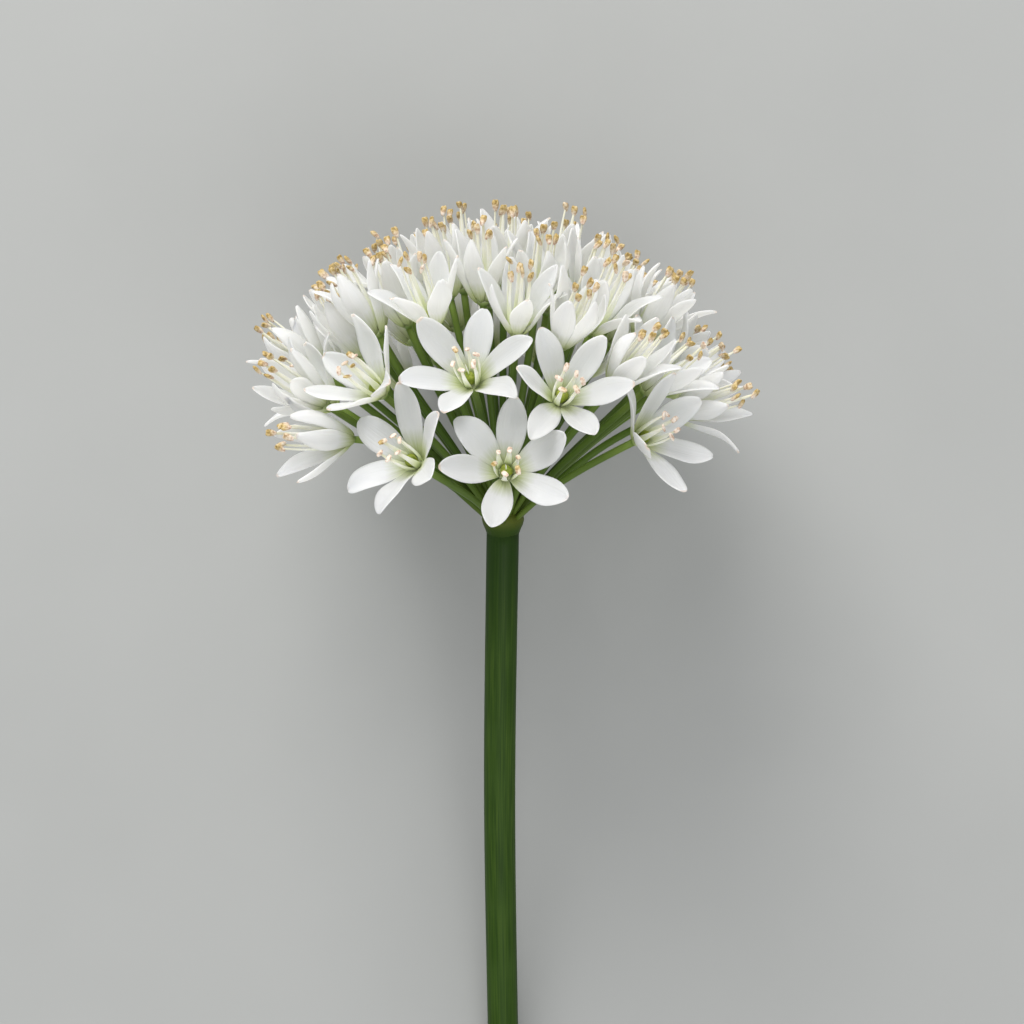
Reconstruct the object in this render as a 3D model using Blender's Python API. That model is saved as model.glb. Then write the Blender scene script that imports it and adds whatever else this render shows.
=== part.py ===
"""An allium flower head on its cut stem, lying on its side.

The stem carries a dome of thin pedicels, and each pedicel carries one white floret: six tepals round
six stamens and a pistil. The stem and its pedicels grew as one green piece, and each floret is a piece
of its own. The head lies on the tepals of its underside and on the cut end of the stem.

Metres, +Z up, the origin on the table under the middle of the flower's box. The flower is laid out in
its own frame first, X to its right, Y up its stem and Z out of its front, from the umbel's centre where
the pedicels meet. One matrix then lays it down. A floret has a frame too, with Z out of its mouth.
"""

import itertools
import math
import random
from dataclasses import dataclass

import bmesh
import bpy
from mathutils import Matrix, Vector
from mathutils.bvhtree import BVHTree
from mathutils.geometry import interpolate_bezier

# The stem and the pedicels, which are longer up the middle than at the rim
STEM_LENGTH = 0.0575
STEM_RADIUS = 0.00160
STEM_TOP_RADIUS = 0.00165
STEM_BOW = 0.0005
STEM_SIDES = 12
UMBEL_RADIUS = 0.0025
PEDICEL_AT_RIM = 0.0207
PEDICEL_AT_TOP = 0.0239
PEDICEL_UNEVEN = 0.0006
PEDICEL_RADIUS = 0.00036
PEDICEL_FOOT_RADIUS = 0.00025
PEDICEL_SEAT = 0.0003

# The florets, with lengths along a tepal or a filament. Each row of a tepal has its share of the
# length, of the half width and of the thickness, and the tip is a blunt edge. A tepal is an arc, which
# bends back where its floret is wide open and forwards where it is narrow, by TEPAL_BEND degrees for
# each degree from the opening at which it is straight. Roots are out from the axis and up the cup.
TEPALS = 6
TEPAL_LENGTH = 0.0068
TEPAL_WIDTH = 0.0031
TEPAL_THICKNESS = 0.00064
TEPAL_ROWS = ((0.42, 0.92, 1), (0.80, 0.86, 1), (1, 0.22, 0))
KEEL_WIDTH = 0.35
TEPAL_ROOT = (0.0009, 0.0005)
TEPAL_BEND = 0.9
STRAIGHT_OPENING = 36.01
STAMEN_LENGTH = 0.0058
STAMEN_REACH = 0.0021
STAMEN_ROOT = (0.0006, 0.0007)
STAMEN_LEAN = 0.4
FILAMENT_RADIUS = 0.00026
ANTHER_RADIUS = 0.00048
PISTIL_LENGTH = 0.0036
PISTIL_ROOT = 0.0007
OVARY_RADIUS = 0.00052
CUP_DEPTH = 0.0010
CUP_RADIUS = 0.00085
CUP_MOUTH = 0.00125

# How the head is spread, in degrees: the lowest pedicels in front and at the sides, the gap between
# the front florets, where no other pedicel stands, the opening of the tepals from their floret's axis
# at the top and at the rim, and what chance adds to it
RIM_FRONT = 30
RIM_SIDE = 40
GAP_TOP = 42
GAP_SIDE = 30
OPEN_TOP = 22
OPEN_RIM = 38
LEAST_OPENING = 17
OPENING_UNEVEN = 4
WHORL_APART = 4
EDGE_ROOM = 4.5
ROOM_IN_FRONT = 2
SPIRAL_PEDICELS = 62
SPREAD_PEDICELS = 56
PUSH_ROUNDS = 80
PUSH_REACH = 0.8
PUSH = 0.00015
TURN_UNEVEN = 3
LEAN_UNEVEN = 3
SEED = 7

# The florets that stand out in front, by hand, in degrees: the elevation and azimuth of the pedicel,
# those that the floret faces, the opening, and the turn of each tepal, anticlockwise from its right.
# Azimuth 0 is the front, and 90 the right.
FRONT_FLORETS = (
    (29, 1, 29, 2, 64, (-104, -34, 24, 82, 134, 184)),
    (46, 20, 40, 17, 62, (-78, -14, 46, 104, 168, 228)),
    (52, -12, 46, -14, 62, (-98, -32, 26, 84, 142, 202)),
    (30, -26, 33, -44, 60, (-78, -18, 42, 102, 162, 222)),
    (34, 47, 30, 55, 62, (-46, 14, 74, 134, 194, 254)),
    (46, -48, 42, -60, 48, (-60, 0, 60, 120, 180, 240)),
    (38, -84, 34, -88, 42, (-100, -40, 20, 80, 140, 200)),
    (42, 90, 36, 90, 42, (-20, 40, 100, 160, 220, 280)),
    (45, 61, 44, 68, 46, (-80, -20, 40, 100, 160, 220)),
    (67, -45, 69, -50, 34, (-70, -10, 50, 110, 170, 230)),
    (69, 9, 70, 10, 32, (-90, -30, 30, 90, 150, 210)),
    (63, 52, 64, 55, 34, (-50, 10, 70, 130, 190, 250)),
)

# How the flower lies: the height of the umbel's centre, its place across and along the table, the room
# that each cup has above the table, and the gap that neighbouring florets keep
UMBEL_HEIGHT = 0.0186
UMBEL_ACROSS = 0.0006
UMBEL_ALONG = 0.0115
CUP_OFF_TABLE = 0.0065
CLEARANCE = 0.0003

# How the florets make room for each other: the rounds, those in which the front ones stay as they are,
# and what each round closes a tepal, in degrees, turns a floret, and moves it
PATIENCE = 80
FIRM_ROUNDS = 30
CLOSING_STEP = 2
LEANING_STEP = 0.015
MOVING_STEP = 0.00006

TILT = math.asin(UMBEL_HEIGHT / math.hypot(STEM_LENGTH, STEM_RADIUS))
TILT -= math.atan2(STEM_RADIUS, STEM_LENGTH)
LAID_DOWN = Matrix.Translation((UMBEL_ACROSS, UMBEL_ALONG, UMBEL_HEIGHT)) @ Matrix.Rotation(TILT, 4, "X")
SKYWARD = LAID_DOWN.to_3x3().transposed() @ Vector((0, 0, 1))
GOLDEN_ANGLE = math.pi * (3 - math.sqrt(5))
SHARP_ANGLE = math.radians(40)
STALK = "stalk"

STEM_GREEN = (0.055, 0.150, 0.045)
TEPAL_WHITE = (0.86, 0.87, 0.83)


@dataclass
class Tepal:
    """A tepal: its turn and opening in degrees, its length, and the half angle that it has to itself."""

    turn: float
    opening: float
    length: float
    room: float


@dataclass
class Floret:
    """A floret: where its cup's foot is and what it faces, in the flower's frame, and its tepals."""

    by_hand: bool
    centre: Vector
    facing: Vector
    opening: float
    tepals: list

    def matrix(self):
        """From the floret's frame to the flower's. Y points to the umbel's top."""
        up = Vector((0, 1, 0)) - self.facing * self.facing.y
        if up.length < 0.01:
            up = Vector((0, 0, -1))
        up.normalize()
        turned = Matrix((up.cross(self.facing), up, self.facing)).transposed()
        return Matrix.Translation(self.centre) @ turned.to_4x4()


def direction(elevation, azimuth):
    """The unit vector at these angles, in degrees, in the flower's frame."""
    e, a = math.radians(elevation), math.radians(azimuth)
    return Vector((math.cos(e) * math.sin(a), math.sin(e), math.cos(e) * math.cos(a)))


def turn_about_z(degrees):
    return Matrix.Rotation(math.radians(degrees), 3, "Z")


def kept_on_head(towards):
    """The nearest direction above the rim whose floret's cup is clear of the table."""
    side = abs(towards.x) / max(math.hypot(towards.x, towards.z), 1e-6)
    lowest = math.sin(math.radians(RIM_FRONT + (RIM_SIDE - RIM_FRONT) * side))
    if towards.y < lowest:
        level = Vector((towards.x, 0, towards.z)).normalized()
        towards = level * math.sqrt(1 - lowest * lowest) + Vector((0, lowest, 0))
    lying = LAID_DOWN.to_3x3() @ towards
    deepest = (CUP_OFF_TABLE - UMBEL_HEIGHT) / PEDICEL_AT_TOP
    if lying.z < deepest:
        level = Vector((lying.x, lying.y, 0)).normalized()
        lying = level * math.sqrt(1 - deepest * deepest) + Vector((0, 0, deepest))
        towards = LAID_DOWN.to_3x3().transposed() @ lying
    return towards


def is_beside_gap(towards):
    """Whether a direction is to the side of the gap in the front, or above it."""
    azimuth = math.degrees(math.atan2(towards.x, towards.z))
    return abs(azimuth) > GAP_SIDE or towards.y > math.sin(math.radians(GAP_TOP))


def spread_pedicels():
    """The directions of the pedicels: in front by hand, the others on a golden spiral and pushed apart."""
    in_front = [direction(front[0], front[1]) for front in FRONT_FLORETS]
    rim = math.sin(math.radians(RIM_FRONT))
    spiral = []
    for k in range(SPIRAL_PEDICELS):
        height = 1 - (k + 0.5) / SPIRAL_PEDICELS * (1 - rim)
        width = math.sqrt(1 - height * height)
        turn = k * GOLDEN_ANGLE
        spiral.append(Vector((width * math.cos(turn), height, width * math.sin(turn))))
    spiral.sort(key=lambda towards: min((towards - front).length for front in in_front))
    spiral = spiral[len(in_front) - SPREAD_PEDICELS :]
    for _ in range(PUSH_ROUNDS):
        crowd = [(front, ROOM_IN_FRONT) for front in in_front] + [(other, 1) for other in spiral]
        for i, towards in enumerate(spiral):
            push = Vector()
            for other, weight in crowd:
                apart = towards - other
                if 0 < apart.length < PUSH_REACH:
                    push += apart * weight / apart.length**4
            spiral[i] = kept_on_head((towards + push * PUSH).normalized())
    return in_front + [towards for towards in spiral if is_beside_gap(towards)]


def plan_tepals(rng, opening, turns):
    """Six tepals in two whorls, of which the outer one opens wider."""
    tepals = []
    for i, turn in enumerate(turns):
        room = min((turn - turns[i - 1]) % 360, (turns[(i + 1) % TEPALS] - turn) % 360) / 2
        whorl = WHORL_APART if i % 2 else -WHORL_APART
        uneven = rng.uniform(-OPENING_UNEVEN, OPENING_UNEVEN)
        length = TEPAL_LENGTH * rng.uniform(0.93, 1.06)
        tepals.append(Tepal(turn, opening + whorl + uneven, length, room))
    return tepals


def plan_florets():
    """All florets: those in front by hand, the others by their height on the dome and by chance."""
    rng = random.Random(SEED)
    florets = []
    for k, towards in enumerate(spread_pedicels()):
        height = min(max(towards.y * 2 - 1, 0), 1)
        pedicel = PEDICEL_AT_RIM + (PEDICEL_AT_TOP - PEDICEL_AT_RIM) * height
        pedicel += rng.uniform(-PEDICEL_UNEVEN, PEDICEL_UNEVEN)
        by_hand = k < len(FRONT_FLORETS)
        if by_hand:
            elevation, azimuth, opening, turns = FRONT_FLORETS[k][2:]
            facing = direction(elevation, azimuth)
        else:
            lean = Vector([rng.gauss(0, 1) for _ in range(3)]) * math.radians(LEAN_UNEVEN)
            facing = (towards + lean).normalized()
            opening = OPEN_RIM + (OPEN_TOP - OPEN_RIM) * height + rng.uniform(-3, 3)
            first = rng.uniform(0, 60)
            turns = [first + 60 * i + rng.uniform(-TURN_UNEVEN, TURN_UNEVEN) for i in range(TEPALS)]
        tepals = plan_tepals(rng, opening, turns)
        florets.append(Floret(by_hand, towards * pedicel, facing, opening, tepals))
    return florets


def arc_point(start, lean, bend, length, share):
    """The point and the angle after a share of an arc that starts at lean and turns by bend, in radians."""
    angle = lean + bend * share
    out = (math.cos(lean) - math.cos(angle)) / bend
    along = (math.sin(angle) - math.sin(lean)) / bend
    return Vector((start[0] + out * length, 0, start[1] + along * length)), angle


def tepal_corners(tepal, share, width, thickness):
    """A tepal's corners there: its keel's left and right, then its inner face's right and left."""
    opening = math.radians(tepal.opening)
    bend = math.radians(TEPAL_BEND * (tepal.opening - STRAIGHT_OPENING))
    middle, lean = arc_point(TEPAL_ROOT, opening - bend / 2, bend, tepal.length, share)
    through = Vector((-math.cos(lean), 0, math.sin(lean))) * thickness * TEPAL_THICKNESS / 2
    room = (middle.x + through.x) * math.tan(math.radians(tepal.room - EDGE_ROOM))
    half = min(TEPAL_WIDTH / 2 * width, room)
    keel = half * KEEL_WIDTH if thickness else half
    sideways = Vector((0, 1, 0))
    corners = (
        middle - through + sideways * keel,
        middle - through - sideways * keel,
        middle + through - sideways * half,
        middle + through + sideways * half,
    )
    return [turn_about_z(tepal.turn) @ corner for corner in corners]


def cup_corners(turn):
    """The corners of the cup's side there, in the order of a tepal's corners."""
    foot, mouth = Vector((CUP_RADIUS, 0, 0)), Vector((CUP_MOUTH, 0, CUP_DEPTH))
    left, right = turn_about_z(turn + 30), turn_about_z(turn - 30)
    return [left @ foot, right @ foot, right @ mouth, left @ mouth]


def corolla_mesh(tepals):
    """The cup with its six flat sides, and a tepal drawn out of each side, row by row."""
    mesh = bmesh.new()
    bmesh.ops.create_cone(
        mesh, cap_ends=True, segments=TEPALS, radius1=CUP_RADIUS, radius2=CUP_MOUTH, depth=CUP_DEPTH
    )
    bmesh.ops.translate(mesh, verts=mesh.verts, vec=(0, 0, CUP_DEPTH / 2))
    cup_turn = sum(tepal.turn - 60 * i for i, tepal in enumerate(tepals)) / TEPALS
    bmesh.ops.rotate(mesh, verts=mesh.verts, matrix=turn_about_z(cup_turn))
    sides = [face for face in mesh.faces if abs(face.normal.z) < 0.9]
    for i, tepal in enumerate(tepals):
        places = cup_corners(cup_turn + 60 * i)
        middle = sum(places, Vector()) / 4
        face = min(sides, key=lambda side: (side.calc_center_median() - middle).length)
        sides.remove(face)
        for row in TEPAL_ROWS:
            face = bmesh.ops.extrude_discrete_faces(mesh, faces=[face])["faces"][0]
            corners = tepal_corners(tepal, *row)
            for vertex in face.verts:
                nearest = min(range(4), key=lambda k: (vertex.co - places[k]).length)
                vertex.co = corners[nearest]
            places = corners
    bmesh.ops.remove_doubles(mesh, verts=mesh.verts, dist=1e-6)
    bmesh.ops.recalc_face_normals(mesh, faces=mesh.faces)
    bmesh.ops.triangulate(mesh, faces=mesh.faces)
    return mesh


def shaped_cone(sides, rows, shape):
    """A cone from Z 0 to 1, cut at the rows, with each vertex moved to shape(its height, its angle)."""
    mesh = bmesh.new()
    bmesh.ops.create_cone(mesh, cap_ends=True, segments=sides, radius1=1, radius2=0, depth=1)
    bmesh.ops.translate(mesh, verts=mesh.verts, vec=(0, 0, 0.5))
    for row in rows:
        everything = mesh.verts[:] + mesh.edges[:] + mesh.faces[:]
        bmesh.ops.bisect_plane(mesh, geom=everything, dist=1e-6, plane_co=(0, 0, row), plane_no=(0, 0, 1))
    for vertex in mesh.verts:
        vertex.co = shape(vertex.co.z, math.atan2(vertex.co.y, vertex.co.x))
    bmesh.ops.triangulate(mesh, faces=mesh.faces)
    return mesh


def stamen_mesh(tepal, opening):
    """A filament that swells into its anther, before its tepal. In a narrow floret it reaches further."""
    narrow = min(max((50 - opening) / 20, 0), 1)
    length = STAMEN_LENGTH + STAMEN_REACH * narrow
    lean = math.radians(tepal.opening * STAMEN_LEAN)

    def shape(share, angle):
        middle, _ = arc_point(STAMEN_ROOT, lean, -lean / 2, length, share)
        radius = 0 if share > 0.95 else ANTHER_RADIUS if share > 0.5 else FILAMENT_RADIUS
        around = Vector((math.sin(angle), -math.cos(angle), 0))
        return turn_about_z(tepal.turn) @ (middle + around * radius)

    return shaped_cone(3, (0.88,), shape)


def pistil_mesh():
    """The round ovary, drawn out into its style."""
    radii = {0: OVARY_RADIUS * 0.7, 0.35: OVARY_RADIUS, 1: 0}

    def shape(share, angle):
        radius = radii[min(radii, key=lambda row: abs(row - share))]
        height = PISTIL_ROOT + share * PISTIL_LENGTH
        return Vector((math.cos(angle) * radius, math.sin(angle) * radius, height))

    return shaped_cone(5, (0.35,), shape)


def pedicel_path(floret):
    """Points along a pedicel, from inside the umbel's centre to just under its floret."""
    outwards = floret.centre.normalized()
    start = outwards * UMBEL_RADIUS * 0.8
    end = floret.centre - floret.facing * PEDICEL_SEAT
    third = floret.centre.length / 3
    rising = (outwards + Vector((0, 0.2, 0))).normalized()
    return interpolate_bezier(start, start + rising * third, end - floret.facing * third, end, 31)


def stalk_mesh(path, radii, sides, rows):
    """A thin stalk along a path, with the radii at its two ends, cut at the rows so that it bends."""
    mesh = bmesh.new()
    bmesh.ops.create_cone(mesh, cap_ends=True, segments=sides, radius1=1, radius2=1, depth=1)
    bmesh.ops.translate(mesh, verts=mesh.verts, vec=(0, 0, 0.5))
    for row in rows:
        everything = mesh.verts[:] + mesh.edges[:] + mesh.faces[:]
        bmesh.ops.bisect_plane(mesh, geom=everything, dist=1e-6, plane_co=(0, 0, row), plane_no=(0, 0, 1))
    across = (path[-1] - path[0]).orthogonal()
    for vertex in mesh.verts:
        share = vertex.co.z
        here = round(share * (len(path) - 1))
        ahead = (path[min(here + 1, len(path) - 1)] - path[max(here - 1, 0)]).normalized()
        up = ahead.cross(across).normalized()
        around = up.cross(ahead) * vertex.co.x + up * vertex.co.y
        vertex.co = path[here] + around * (radii[0] + (radii[1] - radii[0]) * share)
    bmesh.ops.recalc_face_normals(mesh, faces=mesh.faces)
    bmesh.ops.triangulate(mesh, faces=mesh.faces)
    return mesh


def floret_pieces(floret):
    """The floret's corolla, its stamens and its pistil, in its own frame."""
    stamens = [stamen_mesh(tepal, floret.opening) for tepal in floret.tepals]
    return corolla_mesh(floret.tepals), [*stamens, pistil_mesh()]


class Crowd:
    """A floret and its pedicel as neighbours meet them: thicker by half the clearance."""

    def __init__(self, floret):
        self.points = []
        self.faces = []
        self.owners = []
        place = floret.matrix()
        corolla, others = floret_pieces(floret)
        self.add(corolla, place, [tepal.turn for tepal in floret.tepals])
        for mesh in others:
            self.add(mesh, place)
        self.lowest = min((LAID_DOWN @ point).z for point in self.points) + CLEARANCE / 2
        stalk = stalk_mesh(pedicel_path(floret)[10:], [PEDICEL_RADIUS] * 2, 4, (0.5,))
        self.add(stalk, Matrix(), STALK)
        self.tree = BVHTree.FromPolygons(self.points, self.faces)

    def add(self, mesh, place, owner=None):
        mesh.normal_update()
        mesh.verts.index_update()
        first = len(self.points)
        self.points += [place @ (vertex.co + vertex.normal * CLEARANCE / 2) for vertex in mesh.verts]
        for face in mesh.faces:
            self.faces.append([first + vertex.index for vertex in face.verts])
            self.owners.append(self.tepal_of(face, owner) if isinstance(owner, list) else owner)
        mesh.free()

    @staticmethod
    def tepal_of(face, turns):
        """The number of the tepal that a face of the corolla lies on."""
        middle = face.calc_center_median()
        towards = math.degrees(math.atan2(middle.y, middle.x))
        return min(range(len(turns)), key=lambda i: abs((turns[i] - towards + 180) % 360 - 180))


def find_meetings(florets, crowds, firm_in_front):
    """The tepals that must close, as pairs of numbers, and the way that each floret must lean."""
    closing = set()
    leans = {}
    for a, b in itertools.combinations(range(len(florets)), 2):
        apart = florets[a].centre - florets[b].centre
        if apart.length > PEDICEL_AT_RIM:
            continue
        for i, j in crowds[a].tree.overlap(crowds[b].tree):
            owners = (crowds[a].owners[i], crowds[b].owners[j])
            for mine, theirs, me, them in ((*owners, a, b), (*owners[::-1], b, a)):
                in_front = florets[me].by_hand and not florets[them].by_hand
                firm = in_front and firm_in_front and theirs != STALK
                if not firm and mine in range(TEPALS):
                    closing.add((me, mine))
            leans[a] = leans.get(a, Vector()) + apart
            leans[b] = leans.get(b, Vector()) - apart
    for k, crowd in enumerate(crowds):
        if crowd.lowest < 0:
            closing |= {(k, i) for i in range(TEPALS)}
            leans[k] = SKYWARD
    return closing, leans


def settle(florets):
    """Closes and leans the florets bit by bit, until none meets another or the table."""
    crowds = [Crowd(floret) for floret in florets]
    for patience in range(PATIENCE):
        closing, leans = find_meetings(florets, crowds, patience < FIRM_ROUNDS)
        if not closing and not leans:
            break
        for k, i in closing:
            tepal = florets[k].tepals[i]
            tepal.opening = max(tepal.opening - CLOSING_STEP, LEAST_OPENING)
        for k, lean in leans.items():
            if not florets[k].by_hand:
                florets[k].facing = (florets[k].facing + lean.normalized() * LEANING_STEP).normalized()
                florets[k].centre += lean.normalized() * MOVING_STEP
        for k in set(leans) | {k for k, _ in closing}:
            crowds[k] = Crowd(florets[k])


def material(name, colour, roughness):
    made = bpy.data.materials.new(name)
    made.use_nodes = True
    shader = made.node_tree.nodes["Principled BSDF"]
    shader.inputs["Base Color"].default_value = (*colour, 1)
    shader.inputs["Roughness"].default_value = roughness
    shader.inputs["Metallic"].default_value = 0
    made.diffuse_color = (*colour, 1)
    return made


def new_object(name, mesh, collection):
    data = bpy.data.meshes.new(name)
    mesh.to_mesh(data)
    mesh.free()
    made = bpy.data.objects.new(name, data)
    collection.objects.link(made)
    return made


def finish(made, place, surface):
    """Lays a finished piece in its place, with its material, and shaded smooth between its sharp edges."""
    made.matrix_world = place
    made.data.materials.append(surface)
    made.data.shade_smooth()
    made.data.set_sharp_from_angle(angle=SHARP_ANGLE)


def fuse(body, meshes):
    """Joins the meshes to the body with one Boolean union, applies it, and removes what it joined."""
    joined = bpy.data.collections.new(body.name + "_joined")
    bpy.context.scene.collection.children.link(joined)
    for i, mesh in enumerate(meshes):
        new_object(f"{body.name}_joined_{i}", mesh, joined)
    union = body.modifiers.new("Union", "BOOLEAN")
    union.operation = "UNION"
    union.operand_type = "COLLECTION"
    union.collection = joined
    graph = bpy.context.evaluated_depsgraph_get()
    fused = bpy.data.meshes.new_from_object(body.evaluated_get(graph))
    body.modifiers.clear()
    body.data = fused
    for repeat in list(joined.objects):
        bpy.data.objects.remove(repeat)
    bpy.data.collections.remove(joined)


def umbel_mesh():
    """The domed centre of the umbel, which widens out of the stem's top. The pedicels stand on it."""
    rows = {0: 0.64, 0.55: 0.98, 0.85: 0.68, 1: 0}

    def shape(share, angle):
        radius = rows[min(rows, key=lambda row: abs(row - share))] * UMBEL_RADIUS
        height = (share * 1.4 - 0.4) * UMBEL_RADIUS
        return Vector((math.cos(angle) * radius, height, -math.sin(angle) * radius))

    return shaped_cone(10, (0.55, 0.85), shape)


def build_stem(florets, collection, green):
    """The stem, the swollen centre of the umbel and the pedicels, as one green piece."""
    foot = Vector((0, -STEM_LENGTH, 0))
    bow = Vector((-STEM_BOW, -STEM_LENGTH / 2, 0))
    path = interpolate_bezier(foot, bow, bow, Vector(), 31)
    radii = (STEM_RADIUS, STEM_TOP_RADIUS)
    stem = new_object("stem_and_pedicels", stalk_mesh(path, radii, STEM_SIDES, (0.3, 0.7)), collection)
    radii = (PEDICEL_FOOT_RADIUS, PEDICEL_RADIUS)
    pedicels = [stalk_mesh(pedicel_path(floret), radii, 4, (0.4,)) for floret in florets]
    fuse(stem, [umbel_mesh(), *pedicels])
    finish(stem, LAID_DOWN, green)


def build_floret(name, floret, collection, white):
    """One floret as one piece: its corolla, with the stamens and the pistil fused to the cup."""
    corolla, others = floret_pieces(floret)
    made = new_object(name, corolla, collection)
    fuse(made, others)
    finish(made, LAID_DOWN @ floret.matrix(), white)


def main():
    for old in list(bpy.data.objects):
        bpy.data.objects.remove(old)
    head = bpy.data.collections.new("Allium flower head")
    bpy.context.scene.collection.children.link(head)
    green = material("stem_green", STEM_GREEN, 0.45)
    white = material("tepal_white", TEPAL_WHITE, 0.5)
    florets = plan_florets()
    settle(florets)
    build_stem(florets, head, green)
    for number, floret in enumerate(florets, 1):
        build_floret(f"floret_{number:02d}", floret, head, white)


main()
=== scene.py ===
# %% [markdown]
# # The looks of an allium flower head
#
# Garlic chives carry a dome of small white stars on a green stem. Here the flower is cut and lies on a
# table. Its plain solids are already packed: one for the stem with all its pedicels, and one for each
# floret. This script models the real surfaces over them: thin curved tepals, tapered filaments with their
# anthers, the round green ovaries, and a waxy stem. The solids are loaded first, because every piece
# takes its place from them.

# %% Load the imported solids
import math
import random
from dataclasses import dataclass

import bmesh
import bpy
from mathutils import Matrix, Vector
from mathutils.geometry import interpolate_bezier


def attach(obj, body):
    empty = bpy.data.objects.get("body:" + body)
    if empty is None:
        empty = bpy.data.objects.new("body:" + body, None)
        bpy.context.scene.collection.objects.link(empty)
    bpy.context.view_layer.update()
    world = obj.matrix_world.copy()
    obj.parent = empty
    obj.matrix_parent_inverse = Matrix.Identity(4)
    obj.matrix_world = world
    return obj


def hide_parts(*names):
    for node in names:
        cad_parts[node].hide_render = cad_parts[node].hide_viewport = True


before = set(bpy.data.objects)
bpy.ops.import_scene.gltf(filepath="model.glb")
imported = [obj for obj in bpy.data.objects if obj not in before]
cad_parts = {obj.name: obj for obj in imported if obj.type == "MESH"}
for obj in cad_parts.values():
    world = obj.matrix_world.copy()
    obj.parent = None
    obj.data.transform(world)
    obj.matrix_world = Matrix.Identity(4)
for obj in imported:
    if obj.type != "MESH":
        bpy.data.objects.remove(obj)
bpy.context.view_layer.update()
STEM_NODE = "stem_and_pedicels"
FLORET_NODES = sorted(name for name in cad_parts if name.startswith("floret_"))
print("florets:", len(FLORET_NODES))

# %% [markdown]
# ## How the flower lies
#
# The stem is a straight stick whose cut end and whose head both touch the table, so it slopes. Every
# piece could be turned by that slope on its own, but one matrix for all is simpler: it takes the flower's
# own frame, with X to its right, Y up its stem and Z out of its front, to the table. It comes from a few
# sizes of the solids. The umbel's centre is where all pedicels meet.

# %% The flower's frame
STEM_LENGTH = 0.0575
STEM_RADIUS = 0.00160
UMBEL_HEIGHT = 0.0186
UMBEL_ACROSS = 0.0006
UMBEL_ALONG = 0.0115
TILT = math.asin(UMBEL_HEIGHT / math.hypot(STEM_LENGTH, STEM_RADIUS))
TILT -= math.atan2(STEM_RADIUS, STEM_LENGTH)
LAID_DOWN = Matrix.Translation((UMBEL_ACROSS, UMBEL_ALONG, UMBEL_HEIGHT)) @ Matrix.Rotation(TILT, 4, "X")
UMBEL_CENTRE = LAID_DOWN.translation
UP_THE_STEM = LAID_DOWN.to_3x3() @ Vector((0, 1, 0))
print("the stem slopes by", round(math.degrees(TILT), 1), "degrees")

# %% [markdown]
# ## What a floret is
#
# A floret is a star of six tepals, and each one faces its own way and opens by its own amount. Long lists
# could keep the numbers, but two small dataclasses are easier to read.

# %% Tepals and florets as data
TEPALS = 6
TEPAL_STEP = 360 / TEPALS


@dataclass
class Tepal:
    """A tepal: its turn and opening in degrees, its length, and the half angle that it has to itself."""

    turn: float
    opening: float
    length: float
    room: float = TEPAL_STEP / 2


@dataclass
class Floret:
    """A floret: the solid that it stands for, its place in the scene, and its tepals."""

    node: str
    place: Matrix
    tepals: list

    def opening(self):
        return sum(tepal.opening for tepal in self.tepals) / TEPALS


print("one tepal for every", TEPAL_STEP, "degrees of the star")

# %% [markdown]
# ## The place of a floret
#
# The solid holds where a floret sits and faces, so this is read and not typed in again. The solid's foot
# is a small hexagon, the six corners nearest to the umbel's centre. Their middle is the floret's place,
# and the direction square to them is the way it faces.

# %% A floret's place from its foot
CORNER_DIGITS = 7


def solid_points(node):
    """The corners of a solid, each once."""
    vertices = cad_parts[node].data.vertices
    corners = {tuple(round(value, CORNER_DIGITS) for value in vertex.co) for vertex in vertices}
    return [Vector(corner) for corner in sorted(corners)]


def find_foot(points):
    """The six corners nearest to the umbel's centre, and their middle."""
    foot = sorted(points, key=lambda point: (point - UMBEL_CENTRE).length)[:TEPALS]
    return foot, sum(foot, Vector()) / TEPALS


def foot_facing(foot, centre):
    """The direction square to the foot, away from the umbel's centre."""
    across = foot[0] - centre
    beside = min(foot[1:], key=lambda corner: (corner - foot[0]).length) - centre
    facing = across.cross(beside).normalized()
    if facing.dot(centre - UMBEL_CENTRE) < 0:
        facing.negate()
    return facing


def floret_place(centre, facing):
    """The matrix of a floret: Z out of its mouth, Y up the stem."""
    up = (UP_THE_STEM - facing * facing.dot(UP_THE_STEM)).normalized()
    turned_to = Matrix((up.cross(facing), up, facing)).transposed()
    return Matrix.Translation(centre) @ turned_to.to_4x4()


corners, middle = find_foot(solid_points(FLORET_NODES[0]))
print("the first foot is", round(2000 * (corners[0] - middle).length, 2), "mm across")

# %% [markdown]
# ## The tepals of a floret
#
# A tepal of the solid is an arc that leaves the cup and bends outwards, and the chord of that arc opens
# from the axis by the tepal's angle. So its tip alone tells its turn, its opening and its length, and
# nothing else of the solid has to be measured.

# %% A floret's tepals from their tips
TEPAL_ROOT = (0.0009, 0.0005)
TEPAL_BEND = 0.9
STRAIGHT_OPENING = 36.01
TIPS_START = 0.0042
TIP_SHARE = 0.65


def turn_of(point):
    """The turn of a point about the axis, in degrees."""
    return math.degrees(math.atan2(point.y, point.x))


def angle_from_axis(point):
    return math.atan2(math.hypot(point.x, point.y), point.z)


def tepal_bend(opening):
    """How far a tepal bends outwards from root to tip, in radians."""
    return math.radians(TEPAL_BEND * (opening - STRAIGHT_OPENING))


def turn_between(first, second):
    """The turn from the second to the first, from -180 to 180 degrees."""
    return (first - second + 180) % 360 - 180


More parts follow.
